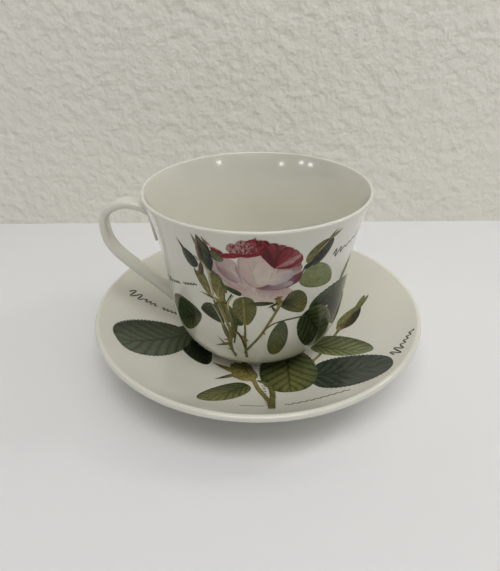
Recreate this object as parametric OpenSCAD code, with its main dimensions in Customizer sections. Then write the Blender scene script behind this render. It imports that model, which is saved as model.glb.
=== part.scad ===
// Breakfast teacup standing in its matching saucer, both of bone china,
// with fired-on transfers of a rose spray and of small pen flourishes.
// Millimetres, +Z up. The origin is where the saucer's axis meets the table.

/* [Saucer] */
// Diameter over the rim
saucer_d = 175; // [150:1:210]
// Height of the rim above the table
saucer_h = 29; // [25:0.5:36]
// Thickness at the rim
saucer_rim_t = 3.2; // [2.4:0.1:4]
// Thickness of the well and the inner wall
saucer_t = 3; // [2.2:0.1:4]
// Outer diameter of the foot ring
saucer_foot_d = 94; // [80:1:112]
// Width of the foot ring's resting band
saucer_foot_w = 3.2; // [2:0.1:5]
// Height of the well's floor above the table
well_h = 6.4; // [5.2:0.1:9]
// Depth of the well below the step that keeps the cup centred
well_step = 0.9; // [0.5:0.1:1.6]

/* [Cup] */
// Diameter over the flared lip
cup_d = 111; // [92:1:134]
// Height from the foot to the lip
cup_h = 88.7; // [73:0.5:107]
// Outer diameter of the wall's straight part, just above the belly
waist_d = 93.6; // [77:0.1:100]
// Height of the waist above the foot
waist_h = 34; // [28:0.5:42]
// Outer diameter of the foot ring
cup_foot_d = 55; // [45:0.5:68]
// Width of the foot ring's resting band
cup_foot_w = 2.4; // [1.6:0.1:4]
// Height of the foot ring
cup_foot_h = 2.6; // [1.8:0.1:4]
// Thickness of the belly and floor
cup_wall = 2.2; // [1.6:0.1:3]
// Thickness at the lip
lip_t = 1.8; // [1.4:0.1:2.6]

/* [Handle] */
// Distance from the wall to the farthest point of the loop's centre line
loop_out = 25.7; // [20:0.1:32]
// Depth of the upper join below the lip
upper_join_drop = 14.2; // [10:0.1:22]
// Height of the lower join above the foot
lower_join_h = 24.5; // [18:0.5:32]
// Width of the strap at the middle of the loop
strap_w = 9.6; // [7:0.1:13]
// Thickness of the strap at the middle of the loop
strap_t = 4.5; // [3.5:0.1:5.5]
// Length of the tail that runs down the wall below the upper join
tail_l = 17; // [12:0.5:22]

/* [Transfers] */
// How far a fired transfer stands above the glaze
film_up = 0.2; // [0.1:0.05:0.3]
// How far a fired transfer sinks into the glaze
film_sink = 0.05; // [0.02:0.01:0.1]

/* [Fits] */
// Gap around the cup's foot inside the saucer's well
well_gap = 2; // [1:0.1:4]
// Gap under the cup's foot ring
seat_gap = 0.05; // [0.02:0.01:0.1]
// How far the handle's ends are luted into the wall
lute = 0.8; // [0.4:0.1:1]

/* [Hidden] */
$fn = 120;
china = [0.93, 0.92, 0.88];
seat_h = well_h + seat_gap;
foot_r = cup_foot_d / 2;
well_r = foot_r + well_gap;
ease = 0.5; // radius that eases the foot rings' corners

// ---- curves -------------------------------------------------------------------------------
function bezier(p, t) = pow(1 - t, 3) * p[0] + 3 * pow(1 - t, 2) * t * p[1]
                      + 3 * (1 - t) * t * t * p[2] + pow(t, 3) * p[3];
function curve(p, n) = [for (i = [0 : n]) bezier(p, i / n)];
function join(a, b) = concat(a, [for (i = [1 : len(b) - 1]) b[i]]);
function reversed(a) = [for (i = [len(a) - 1 : -1 : 0]) a[i]];
function arc(c, r, a0, a1, n) =
    [for (i = [0 : n]) c + r * [cos(a0 + (a1 - a0) * i / n), sin(a0 + (a1 - a0) * i / n)]];
// Unit vector to the left of a line's direction at point i
function left(a, i) =
    let (d = a[min(i + 1, len(a) - 1)] - a[max(i - 1, 0)]) [-d.y, d.x] / norm(d);
// A line moved sideways by d0 at its start and d1 at its end
function beside(a, d0, d1) =
    [for (i = [0 : len(a) - 1]) a[i] + (d0 + (d1 - d0) * i / (len(a) - 1)) * left(a, i)];
function heading(a) = let (n = left(a, len(a) - 1)) atan2(-n.x, n.y);
// Closed outline of a lip: the rounded end of a line whose thickness ends at t
function lip(a, t) = arc(a[len(a) - 1], t / 2, heading(a) - 90, heading(a) + 90, 10);

// ---- saucer's section: the middle of its wall, from the well's step to the rim ------------
saucer_rim = [(saucer_d - saucer_rim_t) / 2, saucer_h - saucer_rim_t / 2];
saucer_rise = saucer_rim.y - well_h;
saucer_start = [well_r + 3, well_h + well_step - saucer_t / 2];
saucer_span = saucer_rim.x - saucer_start.x;
saucer_mid = curve([saucer_start, saucer_start + [saucer_span * 0.38, saucer_rise * 0.07],
                    saucer_rim - [saucer_span * 0.26, saucer_rise * 0.5], saucer_rim], 16);
saucer_top = beside(saucer_mid, saucer_t / 2, saucer_rim_t / 2);
saucer_under = beside(saucer_mid, -saucer_t / 2, -saucer_rim_t / 2);

// ---- cup's section: the middle of its wall, from the foot to the lip ----------------------
lip_point = [(cup_d - lip_t) / 2, cup_h - lip_t / 2];
waist = [(waist_d - cup_wall) / 2, waist_h];
belly_start = [foot_r, cup_foot_h + cup_wall / 2];
belly_out = waist.x - belly_start.x;
belly_up = waist.y - belly_start.y;
wall_up = lip_point.y - waist.y;
flare = lip_point.x - waist.x;
cup_mid = join(
    curve([belly_start, belly_start + [belly_out * 0.59, belly_up * 0.065],
           waist - [belly_out * 0.07, belly_up * 0.6], waist], 10),
    curve([waist, waist + [flare * 0.13, wall_up * 0.33],
           lip_point - [flare * 0.66, wall_up * 0.26], lip_point], 12));
cup_out = beside(cup_mid, -cup_wall / 2, -lip_t / 2);
cup_in = beside(cup_mid, cup_wall / 2, lip_t / 2);
// Radius of the cup's outer wall at height z above its foot
function cup_r(z) = lookup(z, [for (p = cup_out) [p.y, p.x]]);

// A foot ring's corners, from its inner top corner round to its outer top corner
function foot_ring(r, w, inner_h, outer_h) = concat(
    [[r - w, inner_h], [r - w, ease]], [[r - w + ease, 0], [r - ease, 0]], [[r, ease]],
    outer_h > ease ? [[r, outer_h]] : []);

module saucer() {
    foot = saucer_foot_d / 2;
    outside = [for (p = saucer_under) if (p.x > foot + 1) p];
    under_h = well_h - saucer_t;
    color(china) rotate_extrude() polygon(concat(
        [[0, under_h]],
        foot_ring(foot, saucer_foot_w, under_h, outside[0].y - 0.3),
        outside, lip(saucer_mid, saucer_rim_t), reversed(saucer_top),
        curve([saucer_top[0], saucer_top[0] - [1.6, 0], [well_r + 1.4, well_h], [well_r, well_h]], 6),
        [[0, well_h]]));
}

module cup_bowl() {
    color(china) translate([0, 0, seat_h]) rotate_extrude() polygon(concat(
        [[0, cup_foot_h]],
        foot_ring(foot_r, cup_foot_w, cup_foot_h, 0),
        cup_out, lip(cup_mid, lip_t), reversed(cup_in),
        [[0, cup_foot_h + cup_wall]]));
}

// ---- handle -------------------------------------------------------------------------------
// The loop's centre line in the XZ plane. X is the distance from the cup's axis.
upper_join_h = cup_h - upper_join_drop;
upper_join = [cup_r(upper_join_h) - lute, upper_join_h];
lower_join = [cup_r(lower_join_h) - lute, lower_join_h];
loop_drop = (upper_join_h - lower_join_h) * 0.88;
loop_back = [cup_r(upper_join_h) + loop_out, lower_join_h + loop_drop];
loop_low = loop_back - [0, loop_drop * 0.12];
shoulder = [loop_back.x - loop_out * 0.18, upper_join_h + 2.5];
loop_line = join(join(
    curve([upper_join, upper_join + [loop_out * 0.34, 5],
           shoulder + [loop_out * -0.3, 4.6], shoulder], 14),
    curve([shoulder, shoulder + [loop_out * 0.18, -2.8],
           loop_back + [loop_out * 0.02, 0], loop_low], 14)),
    curve([loop_low, loop_back - [loop_out * 0.045, loop_drop * 0.4],
           lower_join + [loop_out * 0.59, loop_drop * 0.39], lower_join], 18));
tail_top = [cup_r(upper_join_h) + 3.8, upper_join_h + 2];
tail_end = [cup_r(upper_join_h - tail_l) + 2.8, upper_join_h - tail_l + 2];
tail_line = curve([tail_top, tail_top - [2.6, 3], tail_end + [1.4, 8], tail_end], 12);

// Section across the strap: a flat oval, half-width a across Y and half-thickness b
section_n = 20;
function oval(a, b) = [for (k = [0 : section_n - 1])
    let (t = 360 * k / section_n, c = cos(t), s = sin(t))
    [a * sign(c) * pow(abs(c), 0.75), b * sign(s) * pow(abs(s), 0.75)]];
// 1 at both ends of the line and 0 along its middle
function near_end(u) = pow(abs(2 * u - 1), 6);

// A strap swept along a line. The sections at its ends stand parallel to the wall, so that
// the ends stay inside it.
module strap(line, w_mid, w_end, t_mid, t_end, upright) {
    n = len(line);
    rings = [for (i = [0 : n - 1]) let (
        e = upright * near_end(i / (n - 1)),
        side = left(line, i),
        mixed = side * (1 - e) + [0, e * sign(side.y)],
        across = mixed / norm(mixed) / max(0.5, abs(mixed * side) / norm(mixed)),
        k = near_end(i / (n - 1)),
        w = w_mid + (w_end - w_mid) * k,
        t = t_mid + (t_end - t_mid) * k)
        [for (q = oval(w / 2, t / 2)) [-(line[i].x + across.x * q.y), q.x, line[i].y + across.y * q.y]]];
    points = [for (r = rings) each r];
    sides = [for (i = [0 : n - 2], k = [0 : section_n - 1])
        let (a = i * section_n, b = a + section_n, j = (k + 1) % section_n) each
        [[a + k, a + j, b + j], [a + k, b + j, b + k]]];
    caps = [[for (k = [section_n - 1 : -1 : 0]) k], [for (k = [0 : section_n - 1]) (n - 1) * section_n + k]];
    polyhedron(points, concat(sides, caps));
}

module cup_handle() {
    color(china) translate([0, 0, seat_h]) {
        strap(loop_line, strap_w, strap_w + 1.6, strap_t, strap_t + 1, 1);
        strap(tail_line, 5, 4.4, 2.6, 1.8, 0);
    }
}

// ---- transfers ----------------------------------------------------------------------------
// A leaf outline: two arcs that meet at points l apart and lie w apart at the middle
module leaf_2d(l, w) {
    r = (l * l + w * w) / (4 * w);
    intersection() {
        translate([0, r - w / 2]) circle(r, $fn = 600);
        translate([0, w / 2 - r]) circle(r, $fn = 600);
    }
}

// The film's full band over the cup's outer wall and over the saucer's upper face
module cup_film() {
    translate([0, 0, seat_h]) rotate_extrude() polygon(concat(
        beside(cup_out, film_sink, film_sink), reversed(beside(cup_out, -film_up, -film_up))));
}
module saucer_film() {
    rotate_extrude() polygon(concat(
        beside(saucer_top, -film_sink, -film_sink), reversed(beside(saucer_top, film_up, film_up))));
}

// Puts a flat outline on the cup's wall at an angle around the cup, where 0 is the front and
// positive goes to the right, and at a height above the foot as a share of the cup's height.
module on_cup(angle, share, turn) {
    rotate([0, 0, angle - 90]) translate([foot_r / 2, 0, seat_h + share * cup_h])
        rotate([90, 0, 90]) rotate([0, 0, turn]) linear_extrude(cup_d) children();
}
// Puts a flat outline on the saucer's upper face, at shares of the saucer's radius.
module on_saucer(x, y, turn) {
    translate([x * saucer_d / 2, y * saucer_d / 2, 0]) rotate([0, 0, turn])
        linear_extrude(saucer_h + 5) children();
}

module cup_bouquet_transfer() {
    color([0.72, 0.5, 0.5]) intersection() {
        cup_film();
        union() {
            on_cup(1, 0.76, 0) circle(17.5);
            on_cup(-34, 0.79, -68) leaf_2d(22, 8);
            on_cup(-24, 0.83, -85) leaf_2d(22, 9);
            on_cup(-23, 0.66, -65) leaf_2d(24, 8);
            on_cup(-46, 0.38, 40) leaf_2d(28, 19);
            on_cup(-24, 0.48, -35) leaf_2d(19, 10);
            on_cup(-8, 0.53, -65) leaf_2d(22, 11);
            on_cup(21, 0.56, -40) leaf_2d(19, 12);
            on_cup(31, 0.835, 50) leaf_2d(20, 10);
            on_cup(33, 0.69, -22) leaf_2d(22, 15);
            on_cup(47, 0.53, 8) leaf_2d(38, 14);
            on_cup(37, 0.32, -55) leaf_2d(29, 19);
            on_cup(58, 0.37, -50) leaf_2d(30, 14);
            on_cup(12, 0.32, -97) leaf_2d(23, 11);
            on_cup(-6, 0.38, 91) leaf_2d(45, 2.4);
            on_cup(-17, 0.4, -77) leaf_2d(44, 5);
            on_cup(4, 0.41, 61) leaf_2d(40, 2.4);
            on_cup(17, 0.43, 10) leaf_2d(24, 1.6);
        }
    }
}

module cup_back_transfer() {
    color([0.45, 0.5, 0.32]) intersection() {
        cup_film();
        union() {
            on_cup(180, 0.68, 80) leaf_2d(26, 13);
            on_cup(166, 0.56, 28) leaf_2d(24, 13);
            on_cup(195, 0.52, -30) leaf_2d(26, 13);
            on_cup(181, 0.44, 92) leaf_2d(32, 2.4);
        }
    }
}

module cup_flourish_transfer() {
    color([0.3, 0.3, 0.3]) intersection() {
        cup_film();
        union() {
            on_cup(-46, 0.58, 16) leaf_2d(26, 3);
            on_cup(50, 0.82, 18) leaf_2d(24, 8);
        }
    }
}

module saucer_left_transfer() {
    color([0.25, 0.3, 0.2]) intersection() {
        saucer_film();
        union() {
            on_saucer(-0.64, -0.2, 40) leaf_2d(42, 35);
            on_saucer(-0.41, -0.26, -40) leaf_2d(30, 15);
        }
    }
}

module saucer_spray_transfer() {
    color([0.35, 0.38, 0.25]) intersection() {
        saucer_film();
        union() {
            on_saucer(0.18, -0.45, 92) leaf_2d(40, 30);
            on_saucer(0.51, -0.51, -8) leaf_2d(42, 35);
            on_saucer(0.51, -0.26, -38) leaf_2d(36, 17);
            on_saucer(-0.17, -0.66, 42) leaf_2d(34, 15);
            on_saucer(-0.12, -0.47, 20) leaf_2d(26, 7);
            on_saucer(0, -0.57, -68) leaf_2d(48, 2.6);
            on_saucer(0.07, -0.7, 92) leaf_2d(30, 3.6);
            on_saucer(0.48, -0.07, 54) leaf_2d(62, 2.4);
            on_saucer(0.64, 0.08, 52) leaf_2d(32, 11);
        }
    }
}

module saucer_flourish_transfer() {
    color([0.3, 0.3, 0.3]) intersection() {
        saucer_film();
        union() {
            on_saucer(-0.68, 0.16, 4) leaf_2d(30, 6);
            on_saucer(0.83, -0.37, 52) leaf_2d(24, 5);
            on_saucer(-0.28, -0.83, -14) leaf_2d(30, 2.4);
            on_saucer(0.28, -0.8, 12) leaf_2d(32, 2.4);
        }
    }
}

saucer();
cup_bowl();
cup_handle();
cup_bouquet_transfer();
cup_back_transfer();
cup_flourish_transfer();
saucer_left_transfer();
saucer_spray_transfer();
saucer_flourish_transfer();
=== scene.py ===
# %% [markdown]
# # A breakfast teacup in its saucer
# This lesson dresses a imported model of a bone-china cup and saucer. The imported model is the
# frame: it fixes every size and place. Here the plain solids get smooth china surfaces, a glaze,
# and the rose-spray transfers that were fired onto them.

# %% Load the fixed frame
import math

import bmesh
import bpy
import numpy as np
from mathutils import Matrix, Vector


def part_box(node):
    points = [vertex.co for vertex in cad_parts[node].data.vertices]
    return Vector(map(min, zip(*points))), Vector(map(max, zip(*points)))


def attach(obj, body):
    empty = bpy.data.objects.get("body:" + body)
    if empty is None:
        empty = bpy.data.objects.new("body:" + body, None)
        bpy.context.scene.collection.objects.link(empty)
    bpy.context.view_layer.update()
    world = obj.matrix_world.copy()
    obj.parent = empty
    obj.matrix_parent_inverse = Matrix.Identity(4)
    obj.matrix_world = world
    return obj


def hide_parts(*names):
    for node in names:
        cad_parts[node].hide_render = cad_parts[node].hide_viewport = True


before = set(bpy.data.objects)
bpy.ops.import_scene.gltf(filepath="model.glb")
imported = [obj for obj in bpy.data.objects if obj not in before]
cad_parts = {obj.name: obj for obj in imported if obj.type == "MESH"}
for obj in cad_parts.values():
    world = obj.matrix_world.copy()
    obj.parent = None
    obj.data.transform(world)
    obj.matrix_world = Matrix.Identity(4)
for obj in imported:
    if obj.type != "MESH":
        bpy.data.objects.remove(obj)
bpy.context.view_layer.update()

MM = 0.001

# %% [markdown]
# ## Sizes
# The frame gives the outer sizes of the saucer and of the cup. The few sizes that a box can't
# give, such as the wall's thickness, are repeated here in millimetres, as a potter's drawing
# would have them.

# %% Read the sizes of the saucer and the cup
saucer_lo, saucer_hi = [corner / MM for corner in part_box("saucer")]
cup_lo, cup_hi = [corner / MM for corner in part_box("cup_bowl")]
SAUCER_R, SAUCER_H = round(saucer_hi.x, 2), saucer_hi.z
CUP_R, CUP_H, SEAT_H = round(cup_hi.x, 2), cup_hi.z - cup_lo.z, cup_lo.z
CUP_WALL, LIP_T, FOOT_R, FOOT_W, FOOT_H = 2.2, 1.8, 27.5, 2.4, 2.6
SAUCER_T, SAUCER_RIM_T, WELL_H, WELL_STEP, WELL_GAP = 3.0, 3.2, 6.4, 0.9, 2.0
SAUCER_FOOT_R, SAUCER_FOOT_W = 47.0, 3.2
EASE, RECESS_EASE = 0.5, 0.8
WAIST_D, WAIST_H = 93.6, 34.0
WAIST = np.array([(WAIST_D - CUP_WALL) / 2, WAIST_H])
print(f"saucer {2 * SAUCER_R:.1f} mm wide, cup {2 * CUP_R:.1f} mm wide and {CUP_H:.1f} mm high")

# %% [markdown]
# ## Curves for a thrown profile
# Both pieces are round, so one profile describes each. A Bezier curve gives the
# middle of the wall. Stepping sideways from it by half the wall gives the inner and outer faces,
# and a half circle closes the lip. Writing the profile this way keeps the wall even.

# %% Bezier curves, side steps and round lips
def bezier(points, count):
    """Points along a cubic curve."""
    p = np.array(points, float)
    t = np.linspace(0, 1, count + 1)[:, None]
    return ((1 - t) ** 3 * p[0] + 3 * (1 - t) ** 2 * t * p[1]
            + 3 * (1 - t) * t * t * p[2] + t ** 3 * p[3])


def left_of(line):
    """Unit vectors to the left of a line's direction."""
    step = np.gradient(line, axis=0)
    step /= np.linalg.norm(step, axis=1)[:, None]
    return np.stack([-step[:, 1], step[:, 0]], axis=1)


def beside(line, start, end):
    """The line moved sideways, by start at its first point and end at its last."""
    return line + left_of(line) * np.linspace(start, end, len(line))[:, None]


def lip(line, thickness, count=16):
    """A half circle round the end of a wall."""
    n = left_of(line)[-1]
    heading = math.atan2(-n[0], n[1])
    a = heading + np.linspace(-math.pi / 2, math.pi / 2, count + 1)
    return line[-1] + thickness / 2 * np.stack([np.cos(a), np.sin(a)], axis=1)


def arc(centre, radius, start, end, count=5):
    """Points on a circle, from one angle in degrees to another."""
    a = np.radians(np.linspace(start, end, count + 1))
    return np.array(centre) + radius * np.stack([np.cos(a), np.sin(a)], axis=1)


def lengths(line):
    """Distance of each point from the first, measured along a line."""
    return np.concatenate([[0], np.cumsum(np.linalg.norm(np.diff(line, axis=0), axis=1))])


def foot_ring(radius, width, inner_h):
    """A foot ring's section, from the recess round to the outside, with eased corners."""
    inner, outer = radius - width, radius
    return np.vstack([
        arc((inner - RECESS_EASE, inner_h - RECESS_EASE), RECESS_EASE, 90, 0),
        arc((inner + EASE, EASE), EASE, 180, 270),
        arc((outer - EASE, EASE), EASE, 270, 360)])


# %% The saucer's and the cup's profiles
rim = np.array([SAUCER_R - SAUCER_RIM_T / 2, SAUCER_H - SAUCER_RIM_T / 2])
start = np.array([FOOT_R + WELL_GAP + 3, WELL_H + WELL_STEP - SAUCER_T / 2])
span, rise = rim[0] - start[0], rim[1] - WELL_H
saucer_mid = bezier([start, start + [span * 0.38, rise * 0.07],
                     rim - [span * 0.26, rise * 0.5], rim], 64)
saucer_top = beside(saucer_mid, SAUCER_T / 2, SAUCER_RIM_T / 2)
saucer_under = beside(saucer_mid, -SAUCER_T / 2, -SAUCER_RIM_T / 2)
well_r = FOOT_R + WELL_GAP
well_ease = bezier([saucer_top[0], saucer_top[0] - [1.6, 0],
                    (well_r + 1.4, WELL_H), (well_r, WELL_H)], 12)

lip_point = np.array([CUP_R - LIP_T / 2, CUP_H - LIP_T / 2])
belly = np.array([FOOT_R, FOOT_H + CUP_WALL / 2])
belly_out, belly_up = WAIST - belly
flare, wall_up = lip_point - WAIST
cup_mid = np.vstack([
    bezier([belly, belly + [belly_out * 0.59, belly_up * 0.065],
            WAIST - [belly_out * 0.07, belly_up * 0.6], WAIST], 36),
    bezier([WAIST, WAIST + [flare * 0.13, wall_up * 0.33],
            lip_point - [flare * 0.66, wall_up * 0.26], lip_point], 48)[1:]])
cup_out = beside(cup_mid, -CUP_WALL / 2, -LIP_T / 2)
cup_in = beside(cup_mid, CUP_WALL / 2, LIP_T / 2)
print("profile points:", len(saucer_mid), "for the saucer,", len(cup_mid), "for the cup")

# %% [markdown]
# ## Turning the pieces
# A spin is Blender's potter's wheel. The profile goes in as a chain of edges, and the spin sweeps
# it round the axis. `use_merge` joins the last step to the first, and merging doubles closes the
# two poles on the axis.

# %% A helper that turns a profile and one that makes an object
def make_object(name, bm, body, material):
    """Turns a bmesh into a named piece that rides on a body."""
    mesh = bpy.data.meshes.new(name)
    bm.to_mesh(mesh)
    bm.free()
    mesh.materials.append(material)
    mesh.polygons.foreach_set("use_smooth", [True] * len(mesh.polygons))
    piece = bpy.data.objects.new(name, mesh)
    bpy.context.scene.collection.objects.link(piece)
    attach(piece, body)
    return piece


def turn_profile(profile, base_h, steps):
    """Sweeps a profile in millimetres round the vertical axis and closes its poles."""
    bm = bmesh.new()
    verts = [bm.verts.new((r * MM, 0, (z + base_h) * MM)) for r, z in profile]
    edges = [bm.edges.new(pair) for pair in zip(verts, verts[1:])]
    bmesh.ops.spin(bm, geom=verts + edges, cent=(0, 0, 0), axis=(0, 0, 1),
                   angle=2 * math.pi, steps=steps, use_merge=True)
    bmesh.ops.remove_doubles(bm, verts=bm.verts, dist=1e-6)
    bmesh.ops.dissolve_degenerate(bm, edges=bm.edges, dist=1e-7)
    bmesh.ops.recalc_face_normals(bm, faces=bm.faces)
    return bm


# %% [markdown]
# ## The china and its glaze
# Bone china is a warm white body under a clear, hard glaze. The body's tone drifts very slightly,
# and the glaze pools into faint waves that bend reflections. A node group holds that drift and
# wave, because the cup, the handle and the saucer share it. The clear glaze itself is the coat
# of the Principled shader, which stays in the material.

# %% Helpers for nodes, sums and ranges
def feed(tree, node, inputs):
    """Gives each input a plain value, or links it from another node's output."""
    for socket, value in inputs.items():
        if isinstance(value, bpy.types.NodeSocket):
            tree.links.new(value, node.inputs[socket])
        else:
            node.inputs[socket].default_value = value


def add(tree, kind, inputs=None, **settings):
    """A new node with its settings and its inputs."""
    node = tree.nodes.new(kind)
    for key, value in settings.items():
        setattr(node, key, value)
    feed(tree, node, inputs or {})
    return node


def calculate(tree, operation, *values):
    """The output of a Math node."""
    return add(tree, "ShaderNodeMath", dict(enumerate(values)), operation=operation).outputs[0]


def scale_by(tree, colour, factor):
    """A colour multiplied by a factor."""
    return add(tree, "ShaderNodeVectorMath", {0: colour, "Scale": factor}, operation="SCALE").outputs[0]


def remap(tree, value, source=(0, 1), target=(0, 1), kind="LINEAR"):
    """A value carried over from one range to another."""
    return add(tree, "ShaderNodeMapRange",
               {"Value": value, "From Min": source[0], "From Max": source[1],
                "To Min": target[0], "To Max": target[1]}, interpolation_type=kind).outputs[0]


# %% Helpers for colours, noise and relief
def blend(tree, factor, first, second, kind="MIX"):
    """Two colours, mixed by a factor."""
    return add(tree, "ShaderNodeMix", {0: factor, 6: first, 7: second},
               data_type="RGBA", blend_type=kind).outputs[2]


def noise(tree, place, scale, detail, roughness, distortion=0.0):
    """The value of a Noise texture, from 0 to 1."""
    return add(tree, "ShaderNodeTexNoise",
               {"Vector": place, "Scale": scale, "Detail": detail, "Roughness": roughness,
                "Distortion": distortion}).outputs["Fac"]


def relief(tree, height, strength, distance):
    """A normal that a height has bent."""
    return add(tree, "ShaderNodeBump",
               {"Height": height, "Strength": strength, "Distance": distance}).outputs[0]


# %% Helpers for new materials and node groups
COLOUR, VALUE = "NodeSocketColor", "NodeSocketFloat"


def new_material(name):
    """An empty material, its node tree and its Principled shader."""
    material = bpy.data.materials.new(name)
    material.use_nodes = True
    return material, material.node_tree, material.node_tree.nodes["Principled BSDF"]


def new_group(name, inputs, outputs):
    """An empty shader node group with named sockets, and its input and output nodes."""
    group = bpy.data.node_groups.new(name, "ShaderNodeTree")
    for label, kind, default in inputs:
        socket = group.interface.new_socket(label, in_out="INPUT", socket_type=kind)
        socket.default_value = default
    for label, kind in outputs:
        group.interface.new_socket(label, in_out="OUTPUT", socket_type=kind)
    return group, add(group, "NodeGroupInput").outputs, add(group, "NodeGroupOutput")


def put_out(group, leave, **results):
    """Links a group's results to its output sockets."""
    feed(group, leave, results)
    print(group.name, "has", len(group.nodes), "nodes")


# %% The shared group: glaze tone, waves and the bare foot
group, enter, leave = new_group(
    "glaze_surface",
    [("Tone", COLOUR, (0.8, 0.77, 0.7, 1)), ("Drift", VALUE, 0.04), ("Bare Below", VALUE, 0.0)],
    [("Color", COLOUR), ("Height", VALUE), ("Bare", VALUE)])
place = add(group, "ShaderNodeTexCoord").outputs["Object"]
centred = calculate(group, "SUBTRACT", noise(group, place, 28.0, 3.0, 0.55), 0.5)
toned = scale_by(group, enter["Tone"], calculate(group, "MULTIPLY_ADD", centred, enter["Drift"], 1.0))
waves = noise(group, place, 70.0, 1.0, 0.4)
peel = noise(group, place, 420.0, 2.0, 0.5)
up = add(group, "ShaderNodeSeparateXYZ", {0: place}).outputs["Z"]
put_out(group, leave, Color=toned, Height=calculate(group, "MULTIPLY_ADD", peel, 0.06, waves),
        Bare=calculate(group, "LESS_THAN", up, enter["Bare Below"]))
glaze_group = group


# %% China for the cup and for the saucer
CHINA_TONE, BARE_TONE = (0.775, 0.76, 0.67), (0.74, 0.71, 0.65)
GLAZED_ROUGH, BARE_ROUGH, GLAZE_COAT, TONE_DRIFT = 0.16, 0.75, 0.6, 0.05
WAVE_STRENGTH, WAVE_DEPTH, SAUCER_BARE_H, CUP_BARE_H = 0.25, 0.0002, 0.7, 0.6


def china(name, bare_below):
    """Glazed bone china whose foot ring is left bare below a height in millimetres."""
    material, tree, shader = new_material(name)
    settings = {"Tone": (*CHINA_TONE, 1), "Drift": TONE_DRIFT, "Bare Below": bare_below * MM}
    tone, height, bare = add(tree, "ShaderNodeGroup", settings, node_tree=glaze_group).outputs
    feed(tree, shader, {
        "Base Color": blend(tree, bare, tone, (*BARE_TONE, 1)),
        "Roughness": remap(tree, bare, target=(GLAZED_ROUGH, BARE_ROUGH)),
        "Coat Weight": remap(tree, bare, target=(GLAZE_COAT, 0.0)),
        "Normal": relief(tree, height, WAVE_STRENGTH, WAVE_DEPTH),
        "Coat Roughness": 0.05, "IOR": 1.5})
    return material


saucer_china = china("saucer_china", SAUCER_BARE_H)
cup_china = china("cup_china", SEAT_H + CUP_BARE_H)
print("glazes:", saucer_china.name, cup_china.name)

# %% [markdown]
# ## Saucer and bowl
# The real pieces are jiggered: clay spins on a mould while a profile tool shapes it, so they are
# round and their walls are even. A Screw modifier could turn them too, but a spin gives a plain
# mesh at once. Each profile runs from the middle of the underside, round the foot ring, up the
# outside, over the rim and back to the middle of the inside.

# %% Turn the saucer
SAUCER_STEPS, BOWL_STEPS = 180, 160
under_h = WELL_H - SAUCER_T
outside = saucer_under[saucer_under[:, 0] > SAUCER_FOOT_R + 1.2]
saucer_profile = np.vstack([
    [[0, under_h]], [[20, under_h]],
    foot_ring(SAUCER_FOOT_R, SAUCER_FOOT_W, under_h),
    bezier([(SAUCER_FOOT_R, outside[0][1] - 1.2), (SAUCER_FOOT_R, outside[0][1] - 0.4),
            outside[0] - [0.7, 0.1], outside[0]], 6)[:-1],
    outside, lip(saucer_mid, SAUCER_RIM_T)[1:-1], saucer_top[::-1], well_ease[1:],
    [[15, WELL_H]], [[0, WELL_H]]])
saucer = make_object("saucer_dish", turn_profile(saucer_profile, 0, SAUCER_STEPS),
                     "saucer", saucer_china)
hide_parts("saucer")
print("saucer faces:", len(saucer.data.polygons))

# %% Turn the bowl
bowl_profile = np.vstack([
    [[0, FOOT_H]], [[12, FOOT_H]],
    foot_ring(FOOT_R, FOOT_W, FOOT_H),
    cup_out, lip(cup_mid, LIP_T)[1:-1], cup_in[::-1],
    [[14, FOOT_H + CUP_WALL]], [[0, FOOT_H + CUP_WALL]]])
bowl = make_object("cup_bowl_shell", turn_profile(bowl_profile, SEAT_H, BOWL_STEPS),
                   "cup", cup_china)
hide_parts("cup_bowl")
print("bowl faces:", len(bowl.data.polygons))

# %% [markdown]
# ## The handle
# The handle is a cast strap, luted onto the wall at two places. One oval ring of vertices is
# extruded station by station along the loop's centre line, which keeps the strap one closed
# skin. Its ends grow wider and thicker as they meet the wall, where the maker smooths the joint
# with a wet brush.

# %% The loop's centre line and a strap along any line
def wall_r(z):
    """Outer radius of the bowl at a height above its foot."""
    return float(np.interp(z, cup_out[:, 1], cup_out[:, 0]))


LOOP_OUT, UPPER_DROP, LOWER_H, LUTE, TAIL_L = 25.7, 14.2, 24.5, 0.8, 17.0
STRAP_W, STRAP_T, TAIL_W, TAIL_T, STRAP_SIDES = 9.6, 4.5, 5.0, 2.6, 28
UPPER_H = CUP_H - UPPER_DROP
drop = (UPPER_H - LOWER_H) * 0.88
upper_join = np.array([wall_r(UPPER_H) - LUTE, UPPER_H])
lower_join = np.array([wall_r(LOWER_H) - LUTE, LOWER_H])
loop_back = np.array([wall_r(UPPER_H) + LOOP_OUT, LOWER_H + drop])
loop_low = loop_back - [0, drop * 0.12]
shoulder = np.array([loop_back[0] - LOOP_OUT * 0.18, UPPER_H + 2.5])
loop_line = np.vstack([
    bezier([upper_join, upper_join + [LOOP_OUT * 0.34, 5],
            shoulder + [LOOP_OUT * -0.3, 4.6], shoulder], 24),
    bezier([shoulder, shoulder + [LOOP_OUT * 0.18, -2.8],
            loop_back + [LOOP_OUT * 0.02, 0], loop_low], 24)[1:],
    bezier([loop_low, loop_back - [LOOP_OUT * 0.045, drop * 0.4],
            lower_join + [LOOP_OUT * 0.59, drop * 0.39], lower_join], 36)[1:]])
tail_top = np.array([wall_r(UPPER_H) + 3.8, UPPER_H + 2])
tail_end = np.array([wall_r(UPPER_H - TAIL_L) + 2.8, UPPER_H - TAIL_L + 2])
tail_line = bezier([tail_top, tail_top - [2.6, 3], tail_end + [1.4, 8], tail_end], 24)


def oval(half_w, half_t):
    """A flat oval with softly squared sides."""
    a = np.linspace(0, 2 * math.pi, STRAP_SIDES, endpoint=False)
    c, s = np.cos(a), np.sin(a)
    return np.stack([half_w * np.sign(c) * abs(c) ** 0.75,
                     half_t * np.sign(s) * abs(s) ** 0.75], axis=1)


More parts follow.
